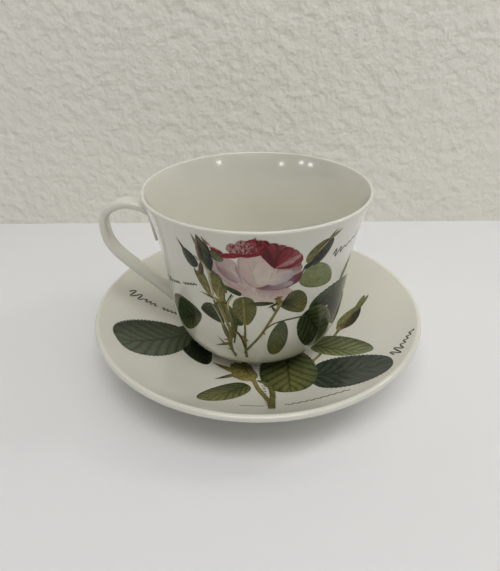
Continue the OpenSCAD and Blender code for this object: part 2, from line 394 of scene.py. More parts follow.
def order_like(old, new):
    """New ring vertices in the order of the old ring, which each of them was extruded from."""
    mate = {}
    for v in new:
        for e in v.link_edges:
            mate[e.other_vert(v)] = v
    return [mate[v] for v in old]


def sweep_strap(line, widths, thicknesses, upright):
    """Extrudes an oval ring along a line in the XZ plane. Sections stand upright where asked."""
    bm = bmesh.new()
    ring = bmesh.ops.create_circle(bm, cap_ends=True, segments=STRAP_SIDES, radius=MM)["verts"]
    for i, (point, side) in enumerate(zip(line, left_of(line))):
        if i:
            edges = [e for e in bm.edges if e.verts[0] in ring_set and e.verts[1] in ring_set]
            new = bmesh.ops.extrude_edge_only(bm, edges=edges)["geom"]
            ring = order_like(ring, [v for v in new if isinstance(v, bmesh.types.BMVert)])
        ring_set = set(ring)
        e = upright[i]
        mixed = side * (1 - e) + np.array([0, e * np.sign(side[1])])
        mixed /= np.linalg.norm(mixed)
        across = mixed / max(0.5, abs(float(mixed @ side)))
        section = oval(widths[i] / 2, thicknesses[i] / 2)
        wall = np.sqrt(np.maximum(0, point[0] ** 2 - section[:, 0] ** 2))
        for v, (y, t), inward in zip(ring, section, e * (wall - point[0])):
            x = point[0] + across[0] * t + inward
            v.co = (-x * MM, y * MM, (point[1] + across[1] * t + SEAT_H) * MM)
    bmesh.ops.contextual_create(bm, geom=ring)
    bmesh.ops.recalc_face_normals(bm, faces=bm.faces)
    return bm


# %% Sweep the loop and its tail
def along(line):
    """Share of the way along a line, from 0 to 1."""
    return lengths(line) / lengths(line)[-1]


u = along(loop_line)
near_end = np.abs(2 * u - 1) ** 6
joint_flare = np.clip(1 - np.minimum(u, 1 - u) * 26, 0, 1) ** 2
loop_bm = sweep_strap(loop_line, STRAP_W + 1.6 * near_end + 2.2 * joint_flare,
                      STRAP_T + near_end + 2.0 * joint_flare, near_end)
handle = make_object("cup_handle_loop", loop_bm, "cup", cup_china)
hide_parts("cup_handle")
v = along(tail_line)
tail_bm = sweep_strap(tail_line, TAIL_W - 0.6 * v, TAIL_T - 0.8 * v, v * 0)
tail = make_object("cup_handle_tail", tail_bm, "cup", cup_china)
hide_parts("cup_handle")
print("handle faces:", len(handle.data.polygons) + len(tail.data.polygons))

# %% [markdown]
# ## Painting with thin films
# On the real cup the flowers are a printed transfer: pigment films, far thinner than a hair, laid
# on the glaze and fired into it. An image texture would be one way to show them. Here each leaf
# and petal is a real thin film instead, so that its outline stays sharp at any distance. A flat
# grid is laid out as a leaf in drawing millimetres and then wrapped onto the wall.
#
# The cup's drawing sheet has s, the way round the cup at a radius of 50 mm, to the right of
# the front, and z, the height above the table. The saucer's sheet is its own plan.

# %% Wrap a drawing onto the cup or onto the saucer
DRAW_R, DRAW_SHIFT = 50.0, -0.9
FILM_T, LAYER_STEP = 0.02, 0.022
dish_line = np.vstack([saucer_top[::-1], well_ease[1:], [[0, WELL_H]]])[::-1]
dish_side = left_of(dish_line)
cup_side = -left_of(cup_out)


def onto_cup(s, z, lift):
    """A drawing point on the bowl's wall, raised along the wall's normal."""
    h = z - SEAT_H
    out, up = [lift * np.interp(h, cup_out[:, 1], cup_side[:, k]) for k in (0, 1)]
    r = np.interp(h, cup_out[:, 1], cup_out[:, 0]) + out
    a = (s + DRAW_SHIFT) / DRAW_R - math.pi / 2
    return Vector((r * math.cos(a), r * math.sin(a), z + up)) * MM


def onto_back(s, z, lift):
    """A drawing point on the far side of the bowl, with s counted from straight behind."""
    return onto_cup(s + DRAW_R * math.pi, z, lift)


def onto_saucer(x, y, lift):
    """A drawing point on the saucer's upper face, raised along the face's normal."""
    r = max(math.hypot(x, y), 1e-6)
    out, up = [lift * np.interp(r, dish_line[:, 0], dish_side[:, k]) for k in (0, 1)]
    grow = (r + out) / r
    return Vector((x * grow, y * grow, np.interp(r, dish_line[:, 0], dish_line[:, 1]) + up)) * MM


print(f"a film is {FILM_T} mm thick and each layer is {LAYER_STEP} mm above the last")

# %% A sheet that collects films
class Sheet:
    """Collects films that share a wrap, a body and a material."""

    def __init__(self, wrap):
        self.wrap, self.bm = wrap, bmesh.new()
        self.flow = self.bm.loops.layers.uv.new("flow")
        self.pigment = self.bm.verts.layers.float_color.new("pigment")

    def film(self, along_n, across_n, shape, tint, layer):
        """A grid film. shape(u, w) gives its drawing point and tint(u, w) its colour and streak."""
        bm = self.bm
        verts = bmesh.ops.create_grid(bm, x_segments=along_n, y_segments=across_n, size=1)["verts"]
        where = {vert: ((vert.co.x + 1) / 2, vert.co.y) for vert in verts}
        lift = FILM_T + LAYER_STEP * layer
        for vert, (u, w) in where.items():
            vert[self.pigment] = tint(u, w)
            for loop in vert.link_loops:
                loop[self.flow].uv = (u, w)
            vert.co = self.wrap(*shape(u, w), lift)
        bmesh.ops.remove_doubles(bm, verts=verts, dist=2e-6)

    def finish(self, name, body, material, node):
        """Closes the films into thin solids and hangs them on a body."""
        bmesh.ops.dissolve_degenerate(self.bm, edges=self.bm.edges, dist=1e-6)
        piece = make_object(name, self.bm, body, material)
        solid = piece.modifiers.new("film", "SOLIDIFY")
        solid.thickness, solid.offset = FILM_T * MM, -1
        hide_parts(node)
        print(name, "has", len(piece.data.polygons), "faces")


# %% A blade, which makes leaves, petals, buds and thorns
def mix(a, b, t):
    """Blends two colours."""
    return tuple(p + (q - p) * t for p, q in zip(a, b))


def blade(sheet, base, tip, half, colours, layer, full=(0.6, 0.6), teeth=0, bite=0.0,
          streak=0.3, cells=(24, 8), ruffle=0.0):
    """One leaf or petal from base to tip. half is its half-width on the left and on the right of
    the way to the tip, colours are root, tip, left edge and right edge, and full says how blunt
    its two ends are: the smaller the number, the blunter the end."""
    base, tip = np.array(base, float), np.array(tip, float)
    way = tip - base
    side = np.array([-way[1], way[0]]) / np.linalg.norm(way)
    a, b = full
    top = (a / (a + b)) ** a * (b / (a + b)) ** b
    phase = base[0] * 1.7 + base[1]

    def shape(u, w):
        width = (u ** a) * ((1 - u) ** b) / top
        if teeth:
            width *= 1 - bite * ((u * teeth + 0.35) % 1.0) * min(1, 6 * u * (1 - u))
        if ruffle:
            width *= 1 + ruffle * math.sin(11 * u + phase) * math.sin(4.3 * u + 2 * phase)
        return base + way * u + side * w * width * (half[0] if w > 0 else half[1])

    def tint(u, w):
        body = mix(colours[0], colours[1], u * u * (3 - 2 * u))
        edge = colours[2] if w > 0 else colours[3]
        return (*mix(body, edge, min(1, abs(w) ** 1.6)), streak)

    sheet.film(cells[0], cells[1], shape, tint, layer)


# %% A stalk, which makes stems and pen strokes
STALK_CELL, STALK_EDGE, STALK_STREAK = 0.8, (0.07, 0.06, 0.02), 0.4


def smooth_through(knots, values, t):
    """A smooth curve through values at knots."""
    slope = np.gradient(values, knots)
    i = np.clip(np.searchsorted(knots, t, side="right") - 1, 0, len(knots) - 2)
    gap = knots[i + 1] - knots[i]
    x = (t - knots[i]) / gap
    return ((2 * x ** 3 - 3 * x ** 2 + 1) * values[i] + (x ** 3 - 2 * x ** 2 + x) * gap * slope[i]
            + (3 * x ** 2 - 2 * x ** 3) * values[i + 1] + (x ** 3 - x ** 2) * gap * slope[i + 1])


def stalk(sheet, points, widths, colours, layer):
    """A stem or pen stroke through a few points, with a width at each and a colour at each end."""
    p = np.array(points, float)
    steps = lengths(p)
    count = max(8, int(steps[-1] / STALK_CELL))
    t = np.linspace(0, steps[-1], count + 1)
    line = np.stack([smooth_through(steps, p[:, 0], t), smooth_through(steps, p[:, 1], t)], axis=1)
    side = left_of(line)
    width = np.interp(t, steps, widths) / 2
    stations = range(count + 1)

    def shape(u, w):
        i = u * count
        centre, aside = [np.array([np.interp(i, stations, rows[:, k]) for k in (0, 1)])
                         for rows in (line, side)]
        return centre + w * np.interp(i, stations, width) * aside

    def tint(u, w):
        shade = 0.45 * max(0, abs(w) - 0.4)
        return (*mix(mix(colours[0], colours[1], u), STALK_EDGE, shade), STALK_STREAK)

    sheet.film(count, 4, shape, tint, layer)


# %% [markdown]
# ## Pigments
# On the transfer a printed leaf is a flat wash with veins drawn into it, and a petal is a wash
# with fine streaks that run from its root to its rim. Both read the film's own map, whose first
# coordinate runs from root to tip and whose second runs from one edge to the other, so the drawing
# follows each film however it is bent. One group makes the grain that every pigment has.

# %% The shared group: pigment grain
group, enter, leave = new_group(
    "pigment_grain",
    [("Pigment", COLOUR, (0.5, 0.5, 0.5, 1)), ("Depth", VALUE, 0.3), ("Scale", VALUE, 900.0)],
    [("Color", COLOUR)])
place = add(group, "ShaderNodeTexCoord").outputs["Object"]
spread = remap(group, noise(group, place, enter["Scale"], 4.0, 0.6), (0.3, 0.7), (-0.5, 0.5))
weight = calculate(group, "MULTIPLY_ADD", spread, enter["Depth"], 1.0)
put_out(group, leave, Color=scale_by(group, enter["Pigment"], weight))
grain_group = group


# %% The shared group: veins of a leaf
def film_map(tree):
    """A film's own map: X runs from root to tip, Y from one edge to the other."""
    return add(tree, "ShaderNodeUVMap", uv_map="flow").outputs[0]


def film_axes(tree):
    """The film's map, split into X and Y."""
    return add(tree, "ShaderNodeSeparateXYZ", {0: film_map(tree)}).outputs


group, enter, leave = new_group(
    "leaf_veins",
    [("Count", VALUE, 7.0), ("Slant", VALUE, 2.2)], [("Line", VALUE), ("Quilt", VALUE)])
split = film_axes(group)
off_mid = calculate(group, "ABSOLUTE", split["Y"])
slanted = calculate(group, "MULTIPLY", calculate(group, "POWER", off_mid, 0.8), enter["Slant"])
rung = calculate(group, "SUBTRACT", calculate(group, "MULTIPLY", split["X"], enter["Count"]), slanted)
other_side = calculate(group, "GREATER_THAN", split["Y"], 0.0)
staggered = calculate(group, "MULTIPLY_ADD", other_side, 0.45, rung)
saw = calculate(group, "PINGPONG", staggered, 0.5)
side_vein = remap(group, saw, (0.10, 0.02), kind="SMOOTHSTEP")
midrib = remap(group, off_mid, (0.07, 0.02), kind="SMOOTHSTEP")
put_out(group, leave, Line=calculate(group, "MAXIMUM", side_vein, midrib),
        Quilt=remap(group, saw, (0.0, 0.5), kind="SMOOTHSTEP"))
vein_group = group

# %% A pigment's material and its masks
def pigment_material(name, depth, grain, build):
    """A pigment film fired onto the glaze. build() alters its colour after the grain."""
    material, tree, shader = new_material(name)
    pigment = add(tree, "ShaderNodeAttribute", attribute_name="pigment").outputs
    settings = {"Depth": depth, "Scale": grain, "Pigment": pigment["Color"]}
    grained = add(tree, "ShaderNodeGroup", settings, node_tree=grain_group).outputs["Color"]
    colour = build(tree, pigment["Alpha"], grained)
    feed(tree, shader, {"Base Color": colour, "Roughness": 0.1, "IOR": 1.35})
    return material


def shade(tree, colour, mask, low, high):
    """Multiplies a colour by low to high as a mask goes from 0 to 1."""
    return scale_by(tree, colour, remap(tree, mask, target=(low, high)))


def rim_mask(tree):
    """A mask that rises from 0 to 1 at a film's two long edges."""
    across = calculate(tree, "ABSOLUTE", film_axes(tree)["Y"])
    return remap(tree, across, (0.86, 1), kind="SMOOTHSTEP")


def streak_mask(tree, along_scale, across_scale, low, high):
    """Fine streaks that run from root to tip in the film's own map."""
    stretched = add(tree, "ShaderNodeMapping",
                    {"Vector": film_map(tree), "Scale": (along_scale, across_scale, 1)}).outputs[0]
    return remap(tree, noise(tree, stretched, 1.0, 3.0, 0.6, 0.4), (low, high), kind="SMOOTHSTEP")


# %% Leaf, petal, stem and pen pigments
PETAL_DYE = (0.48, 0.10, 0.12)


def leaf_build(tree, strength, colour):
    """Lighter pads between darker veins, as strong as the film asks, and a dark rim."""
    veins = add(tree, "ShaderNodeGroup", node_tree=vein_group).outputs
    veined = shade(tree, colour, veins["Quilt"], 0.80, 1.22)
    veined = shade(tree, veined, veins["Line"], 1.0, 0.5)
    return shade(tree, blend(tree, strength, colour, veined), rim_mask(tree), 1.0, 0.6)


def petal_build(tree, strength, colour):
    """Crimson streaks, as strong as the film asks, and a slightly darker rim."""
    dyed = calculate(tree, "MULTIPLY", streak_mask(tree, 2.2, 14.0, 0.40, 0.62), strength)
    streaked = blend(tree, dyed, colour, (*PETAL_DYE, 1), "MULTIPLY")
    return shade(tree, streaked, rim_mask(tree), 1.0, 0.88)


def stem_build(tree, strength, colour):
    """Light and dark streaks along a stem or a bud."""
    return shade(tree, colour, streak_mask(tree, 6.0, 2.0, 0.4, 0.65), 1.15, 0.6)


def ink_build(tree, strength, colour):
    """A pen line that runs thinner and thicker."""
    return shade(tree, colour, streak_mask(tree, 9.0, 1.5, 0.35, 0.7), 0.8, 1.5)


leaf_pigment = pigment_material("leaf_pigment", 0.5, 420.0, leaf_build)
petal_pigment = pigment_material("petal_pigment", 0.14, 300.0, petal_build)
stem_pigment = pigment_material("stem_pigment", 0.4, 500.0, stem_build)
ink_pigment = pigment_material("ink_pigment", 0.4, 700.0, ink_build)
print("pigments:", leaf_pigment.name, petal_pigment.name, stem_pigment.name, ink_pigment.name)

# %% [markdown]
# ## The colours on the painter's plate
# A transfer is printed one colour at a time, so a small plate of tints serves every flower and
# leaf. Each is the share of red, green and blue light that the fired film sends back, and a film
# blends four of them from root to tip and from edge to edge.

# %% Tints
NIGHT, DARK, DEEP = (0.010, 0.014, 0.006), (0.022, 0.030, 0.011), (0.030, 0.044, 0.028)
GREEN, SLATE, MOSS = (0.046, 0.064, 0.021), (0.078, 0.102, 0.058), (0.098, 0.112, 0.040)
OLIVE, SAGE, BROWN = (0.160, 0.155, 0.048), (0.205, 0.228, 0.095), (0.090, 0.060, 0.022)
STRAW, PALE = (0.300, 0.245, 0.075), (0.500, 0.470, 0.300)
CRIMSON, BLOOD, ROSE = (0.120, 0.004, 0.011), (0.300, 0.008, 0.018), (0.400, 0.125, 0.140)
PINK, BLUSH, CREAM = (0.540, 0.400, 0.375), (0.620, 0.500, 0.450), (0.680, 0.600, 0.510)
MAUVE, LILAC, PLUM = (0.350, 0.220, 0.240), (0.460, 0.410, 0.425), (0.160, 0.040, 0.060)
CERISE, INK = (0.300, 0.040, 0.055), (0.070, 0.062, 0.055)
print("darkest leaf tint", NIGHT, "and lightest petal tint", CREAM)

# %% [markdown]
# ## The cup's bouquet
# The real bouquet is one printed sheet. Here its leaves, petals, buds and stems go on from the back
# to the front, and each layer stands a hair above the one before, so that none flickers through
# another. Each table below is a list of blades: root, tip, half-widths, tints and layer.

# %% Leaves of the bouquet
leaves = Sheet(onto_cup)
for base, tip, half, colours, layer, full, veins in [
    ((-28.5, 46.5), (-50.6, 32), (6.8, 13.6), (DARK, GREEN, MOSS, GREEN), 0, (0.62, 0.38), 0.7),
    ((-28, 50), (-15.5, 44.2), (7.4, 1.6), (DARK, GREEN, SLATE, DARK), 1, (0.45, 0.7), 0.6),
    ((-19.5, 55.5), (-6, 44.8), (4.6, 4), (MOSS, GREEN, OLIVE, GREEN), 0, (0.5, 0.6), 0.5),
    ((-4.8, 61.2), (-3.7, 45), (5.2, 6.4), (MOSS, OLIVE, OLIVE, OLIVE), 1, (0.5, 0.8), 0.5),
    ((-3.5, 57), (8.8, 57.4), (1.4, 1), (MOSS, DARK, GREEN, MOSS), 2, (0.5, 0.6), 0.3),
    ((12.3, 57.2), (24.2, 50.2), (9.2, 2.8), (DARK, OLIVE, MOSS, MOSS), 1, (0.28, 0.46), 0.7),
    ((20.2, 69.6), (39, 62), (8.8, 4.6), (SAGE, SAGE, SAGE, SAGE), 0, (0.34, 0.6), 0.25),
    ((26.6, 47.6), (69, 47), (11.2, 0.6), (NIGHT, GREEN, SLATE, DARK), 0, (0.40, 0.6), 0.5),
    ((40.5, 46.4), (72, 25), (9.6, 8.4), (DARK, DARK, DEEP, DARK), 0, (0.40, 0.6), 0.6),
    ((48, 57), (58, 69), (1.8, 2.4), (GREEN, MOSS, GREEN, SLATE), 1, (0.6, 0.9), 0.4),
    ((25, 48.8), (42, 23.6), (11.6, 10.8), (DARK, GREEN, MOSS, GREEN), 1, (0.45, 0.45), 0.8),
    ((13.4, 46.4), (9.8, 24.6), (5, 5.4), (SLATE, OLIVE, MOSS, MOSS), 0, (0.6, 0.5), 0.4),
]:
    blade(leaves, base, tip, half, colours, layer, full=full, teeth=13, bite=0.07, streak=veins,
          cells=(64, 14))
leaves.finish("bouquet_leaves", "cup", leaf_pigment, "cup_bouquet_transfer")

# %% [markdown]
# ## The bloom
# The rose is pale outside and crimson inside. A fan of narrow petals from one heart shows the
# inside, wide pale petals fold over it from below, and small seeded strokes stand for the many
# little petals at the back, which would be tedious to place one by one.

# %% Petals of the bloom
HEART = (8.2, 76.6)
petals = Sheet(onto_cup)
for tip, half, colours, layer in [
    ((-10.4, 88.4), (3.4, 2.6), (ROSE, BLUSH, PINK, PINK), 2),
    ((-6.4, 90.6), (3.2, 2.8), (ROSE, PINK, BLUSH, PINK), 3),
    ((-2, 91.6), (2.8, 2.8), (CERISE, ROSE, PINK, BLOOD), 2),
    ((2.4, 91.2), (2.8, 2.6), (CRIMSON, CERISE, BLOOD, CRIMSON), 8),
    ((6.4, 89.8), (2.6, 2.6), (CRIMSON, CERISE, BLOOD, CRIMSON), 9),
    ((10.2, 88.6), (2.6, 2.6), (CRIMSON, CERISE, BLOOD, ROSE), 8),
    ((14, 86.8), (2.6, 2.6), (BLOOD, CERISE, CRIMSON, CERISE), 9),
    ((17.4, 84.2), (2.6, 2.6), (BLOOD, ROSE, CERISE, CERISE), 8),
    ((19.8, 80.8), (2.8, 2.6), (BLOOD, CERISE, ROSE, CERISE), 9),
    ((18.6, 82.2), (1.3, 1.5), (ROSE, PINK, CERISE, PINK), 10),
    ((16.4, 79.4), (1.1, 1.3), (ROSE, PINK, PINK, CERISE), 11),
    ((19.6, 78), (1.6, 1.6), (CERISE, MAUVE, ROSE, CERISE), 8),
]:
    blade(petals, HEART, tip, half, colours, layer, full=(0.75, 0.3), streak=1, ruffle=0.1,
          cells=(44, 12))
for base, tip, half, colours, layer, streak in [
    ((4.6, 69.8), (20.6, 71.4), (7, 5.4), (LILAC, PLUM, MAUVE, PLUM), 4, 0.3),
    ((6, 74), (20.4, 75), (3.4, 3.6), (BLUSH, MAUVE, ROSE, BLUSH), 5, 0.4),
    ((0, 67.2), (17, 67.6), (2, 2.6), (PLUM, LILAC, MAUVE, MAUVE), 5, 0.3),
    ((4.6, 69.4), (16.4, 73.4), (2.8, 3.8), (CREAM, LILAC, BLUSH, LILAC), 6, 0.15),
    ((5.6, 68), (4, 58.2), (13, 8.6), (MAUVE, CREAM, BLUSH, CREAM), 1, 0.2),
    ((-0.5, 62.6), (-19.4, 76), (5.4, 6.4), (BLUSH, LILAC, BLUSH, CREAM), 1, 0.2),
    ((-2, 66), (-18.2, 80.8), (5.6, 5.8), (BLUSH, LILAC, PINK, PINK), 2, 0.25),
    ((-5.5, 69.6), (-14.8, 80.8), (4.8, 4.4), (CREAM, PINK, MAUVE, BLUSH), 4, 0.25),
    ((-7, 69), (-15.6, 76), (1.2, 2.2), (LILAC, MAUVE, MAUVE, BLUSH), 5, 0.5),
    ((-8, 78), (-5.4, 68.4), (1, 0.7), (MAUVE, LILAC, BLUSH, LILAC), 7, 0.3),
    ((3, 66.8), (-3, 84.6), (6.4, 10), (BLUSH, BLUSH, PINK, BLUSH), 6, 0.15),
    ((3.6, 67.6), (3.4, 80), (4.4, 3.6), (CREAM, BLUSH, CREAM, CREAM), 7, 0.1),
]:
    blade(petals, base, tip, half, colours, layer, full=(0.45, 0.4), streak=streak, ruffle=0.07,
          cells=(44, 18))
for base, tip, half, colours, layer, full in [
    ((8, 76.4), (0.6, 91.4), (1.2, 2.2), (CRIMSON, CRIMSON, CRIMSON, CRIMSON), 10, (1, 0.6)),
    ((-13.6, 82), (-3.6, 83.6), (1.5, 1), (BLOOD, BLOOD, BLOOD, BLOOD), 8, (0.5, 0.7)),
    ((-6, 83), (3.6, 84.4), (0.9, 0.9), (BLOOD, BLOOD, CRIMSON, BLOOD), 9, (0.5, 0.9)),
    ((-17.6, 86), (-12.4, 83.4), (1, 1.1), (BLOOD, CRIMSON, ROSE, PLUM), 8, (0.6, 0.6)),
    ((-20.4, 90.8), (-17, 86.4), (0.3, 0.3), (ROSE, BLOOD, BLOOD, ROSE), 7, (0.6, 0.8)),
]:
    blade(petals, base, tip, half, colours, layer, full=full, streak=0.6, ruffle=0.2, cells=(36, 10))
FLECK_TRIES, FLECK_LOW, FLECK_TOP, FLECK_LEFT, FLECK_SPAN = 90, 83.4, 91.2, -10.5, 13.5
chance = np.random.default_rng(7)
for i in range(FLECK_TRIES):
    s_at = chance.uniform(0, 1) ** 0.65 * FLECK_SPAN + FLECK_LEFT
    z_at = chance.uniform(FLECK_LOW, FLECK_TOP)
    if z_at < FLECK_TOP - 0.035 * (s_at - 1) ** 2:
        size, turn = chance.uniform(0.5, 2), chance.uniform(0.3, 1.9)
        tip = (s_at + size * math.cos(turn), z_at + size * math.sin(turn))
        blade(petals, (s_at, z_at), tip, (0.35, 0.3), (BLOOD, CERISE, CERISE, BLOOD), 9 + i % 3,
              full=(0.5, 0.6), streak=0.4, cells=(8, 4))
petals.finish("bouquet_bloom", "cup", petal_pigment, "cup_bouquet_transfer")

# %% [markdown]
# ## Buds, stems and thorns
# A bud is a few narrow blades laid over one another, and a stem is a stalk: a grid that follows a
# smooth line through a few points. A curve object would draw a line too, but it has no film to be
# wrapped and fired. A thorn is a tiny blade that is wide at its root and sharp at its tip.

# %% Buds and sepals of the bouquet
buds = Sheet(onto_cup)
for base, tip, half, colours, layer, full in [
    ((-26.6, 73), (-32, 82.4), (3.2, 3), (DARK, DEEP, MOSS, NIGHT), 1, (0.42, 0.7)),
    ((-30.6, 79.6), (-34, 86.8), (0.9, 0.8), (DEEP, SLATE, MOSS, DEEP), 2, (0.4, 1.2)),
    ((-20, 73.6), (-22.4, 92), (3.6, 3.7), (DARK, MOSS, OLIVE, NIGHT), 2, (0.8, 1.2)),
    ((-22.4, 78.4), (-22.7, 88.4), (1, 0.9), (NIGHT, CRIMSON, PLUM, NIGHT), 3, (0.6, 0.9)),
    ((-18.6, 82), (-19.6, 72.6), (1.5, 1.3), (NIGHT, DARK, NIGHT, DARK), 3, (0.6, 0.8)),
    ((-23.4, 85), (-24.8, 92.2), (0.7, 0.6), (MOSS, SAGE, MOSS, OLIVE), 1, (0.4, 1.2)),
    ((-18.4, 84), (-20.2, 91.4), (0.8, 0.7), (MOSS, OLIVE, MOSS, OLIVE), 1, (0.4, 1.2)),
    ((-20.6, 57.4), (-25.8, 71.8), (2.9, 2.4), (STRAW, OLIVE, OLIVE, OLIVE), 4, (1, 0.35)),
    ((-24.4, 69.6), (-23.4, 77.2), (1.5, 1.2), (BROWN, PLUM, BROWN, DARK), 5, (0.6, 0.9)),
    ((-27, 68), (-28, 73), (0.7, 0.6), (OLIVE, BROWN, OLIVE, BROWN), 5, (0.5, 1)),
    ((-13, 79.6), (-17.4, 84.8), (2.6, 1.8), (OLIVE, MOSS, SLATE, BROWN), 7, (0.5, 0.6)),
    ((-6, 62), (-16.8, 67.4), (1.3, 1.5), (DARK, MOSS, GREEN, MOSS), 3, (0.4, 0.9)),
    ((-16.2, 57), (-18.8, 72.6), (2.8, 3.8), (STRAW, OLIVE, OLIVE, MOSS), 4, (0.9, 0.4)),
    ((-16, 57.4), (-27.4, 60), (0.7, 0.6), (OLIVE, BROWN, STRAW, OLIVE), 5, (0.4, 1.1)),
    ((-15.6, 57), (-13.8, 65.6), (1.1, 1.2), (STRAW, OLIVE, OLIVE, MOSS), 6, (0.4, 1)),
    ((-18.8, 57.4), (-12.8, 56.8), (1.2, 1.1), (STRAW, BROWN, STRAW, BROWN), 7, (0.5, 0.6)),
    ((23, 76), (31.4, 87), (4.2, 3.4), (OLIVE, BROWN, OLIVE, BROWN), 1, (0.42, 0.6)),
    ((23.6, 75.4), (33, 87), (0.6, 4.6), (NIGHT, DARK, BROWN, DARK), 2, (0.42, 0.5)),
    ((26.4, 81), (31.4, 86.4), (0.5, 0.5), (STRAW, PALE, STRAW, STRAW), 3, (0.6, 0.9)),
    ((21.2, 74.4), (27, 77), (1.2, 1.4), (NIGHT, DARK, NIGHT, DARK), 3, (0.4, 0.7)),
    ((31, 86), (37.4, 90.2), (0.9, 0.7), (OLIVE, SAGE, OLIVE, SAGE), 1, (0.4, 1)),
    ((31, 86), (33.8, 91.6), (0.7, 0.7), (OLIVE, SAGE, MOSS, SAGE), 1, (0.4, 1)),
    ((31.6, 86), (35.6, 91), (0.6, 0.6), (OLIVE, STRAW, SAGE, STRAW), 2, (0.4, 1)),
    ((11.4, 54.8), (10.4, 61.2), (1.5, 1.6), (STRAW, OLIVE, OLIVE, STRAW), 4, (0.5, 0.6)),
    ((8.6, 59.6), (12.6, 60.8), (0.6, 0.6), (BROWN, OLIVE, STRAW, BROWN), 5, (0.5, 0.6)),
    ((10.6, 57.4), (5.8, 55), (0.7, 0.6), (DARK, BROWN, OLIVE, DARK), 5, (0.4, 1)),
    ((9.6, 52.6), (7.2, 56.4), (0.7, 0.6), (OLIVE, DARK, OLIVE, BROWN), 4, (0.4, 1)),
    ((-12.8, 34), (-17.4, 47.6), (1.5, 1.2), (OLIVE, MOSS, OLIVE, BROWN), 1, (0.5, 0.9)),
    ((-12, 36), (-8.6, 49), (1.3, 1.6), (OLIVE, GREEN, MOSS, GREEN), 1, (0.5, 0.9)),
    ((-13.6, 44), (-17.6, 56), (1.2, 1), (STRAW, OLIVE, OLIVE, STRAW), 2, (0.5, 0.9)),
    ((-12.4, 46), (-14.6, 60), (1, 1.6), (OLIVE, STRAW, MOSS, OLIVE), 2, (0.5, 0.8)),
    ((-13, 62), (-19.6, 74.6), (1, 1.8), (OLIVE, MOSS, OLIVE, MOSS), 3, (0.5, 0.7)),
]:
    blade(buds, base, tip, half, colours, layer, full=full)
buds.finish("bouquet_buds", "cup", stem_pigment, "cup_bouquet_transfer")

# %% Stems and thorns of the bouquet
stems = Sheet(onto_cup)
for points, widths, colours, layer in [
    ([(-5, 22.6), (-5.2, 32), (-5, 44), (-5.4, 60)], (1.5, 1.5, 1.1, 1.4), (OLIVE, STRAW), 4),
    ([(-4.6, 29), (3.2, 40), (8.6, 50), (12, 57)], (1.2, 1.4, 1.4, 1.6), (OLIVE, STRAW), 4),
    ([(-11.2, 22.4), (-13.2, 31), (-12.4, 39), (-14.2, 47), (-17.4, 57)],
     (1.2, 2.4, 1.8, 1.3, 1.5), (OLIVE, STRAW), 3),
    ([(-12.4, 37), (-11.4, 44), (-12.4, 51), (-14.6, 57.6)], (1.6, 1.4, 1.2, 1.5), (MOSS, STRAW), 2),
    ([(-13, 31), (-14.8, 39), (-17.6, 48), (-19.8, 57)], (1.2, 1, 0.9, 1), (OLIVE, OLIVE), 2),
    ([(-11, 33), (-9.8, 41), (-11, 50), (-12.8, 57), (-10.6, 62)],
     (0.8, 1.1, 0.9, 0.9, 0.8), (MOSS, GREEN), 2),
    ([(-5.6, 31), (-7.2, 37.4), (-9.4, 40.4), (-12, 37.4)], (0.9, 1.3, 1.3, 1), (BROWN, OLIVE), 5),
    ([(-15.8, 43), (-18.6, 50), (-21.4, 55)], (0.5, 0.6, 0.4), (PALE, PALE), 5),
    ([(-14, 43), (-16.2, 50), (-18, 55)], (0.4, 0.6, 0.4), (PALE, PALE), 5),
    ([(-12.6, 52.6), (-12.6, 57), (-9.8, 61.4)], (0.6, 0.9, 0.6), (PALE, PALE), 5),
    ([(-19.6, 60), (-20.4, 67), (-20.6, 72), (-23.4, 77), (-26.4, 79.4)],
     (0.9, 1.1, 1.2, 1.1, 0.7), (PALE, PALE), 5),
    ([(-18.4, 57.4), (-21.4, 61), (-23, 65.6)], (0.5, 0.6, 0.3), (PALE, STRAW), 6),
    ([(-17, 57.4), (-17, 62), (-15.8, 67)], (0.5, 0.6, 0.3), (PALE, STRAW), 6),
    ([(4.6, 42.2), (8.8, 45.4), (13.6, 46.6), (24.6, 46.8)], (0.7, 0.7, 0.8, 0.9), (BROWN, MOSS), 3),
    ([(20.2, 70), (21, 73), (22.6, 75.6)], (0.6, 0.8, 1.2), (MOSS, DARK), 2),
]:
    stalk(stems, points, widths, colours, layer)
for base, tip, half in [((-13.4, 32.4), (-22.4, 28.4), 1), ((-16, 31.2), (-20.2, 35.8), 0.5),
                        ((-13, 34.6), (-17, 34.4), 0.6), ((3.6, 41), (5.2, 39), 0.5),
                        ((-12.4, 27.6), (-16, 28.6), 0.6), ((-6.8, 38.4), (-5.4, 36.6), 0.5),
                        ((-11.6, 25.8), (-9.8, 24.2), 0.5), ((-4.6, 36), (-3.2, 34.8), 0.4),
                        ((-5.4, 27.4), (-6.8, 26.2), 0.4), ((-5.4, 50), (-6.8, 49), 0.4)]:
    blade(stems, base, tip, (half, half), (OLIVE, BROWN, BROWN, STRAW), 5, full=(0.15, 1.2), cells=(10, 4))
stems.finish("bouquet_stems", "cup", stem_pigment, "cup_bouquet_transfer")

# %% [markdown]
# ## The cup's back and its pen flourishes
# The back carries a smaller spray, a bud between three leaves, on its own sheet. The pen
# flourishes beside the flowers are plain waves that say nothing. They are drawn as very narrow
# films, since a stroke's width swells and thins as a nib turns.

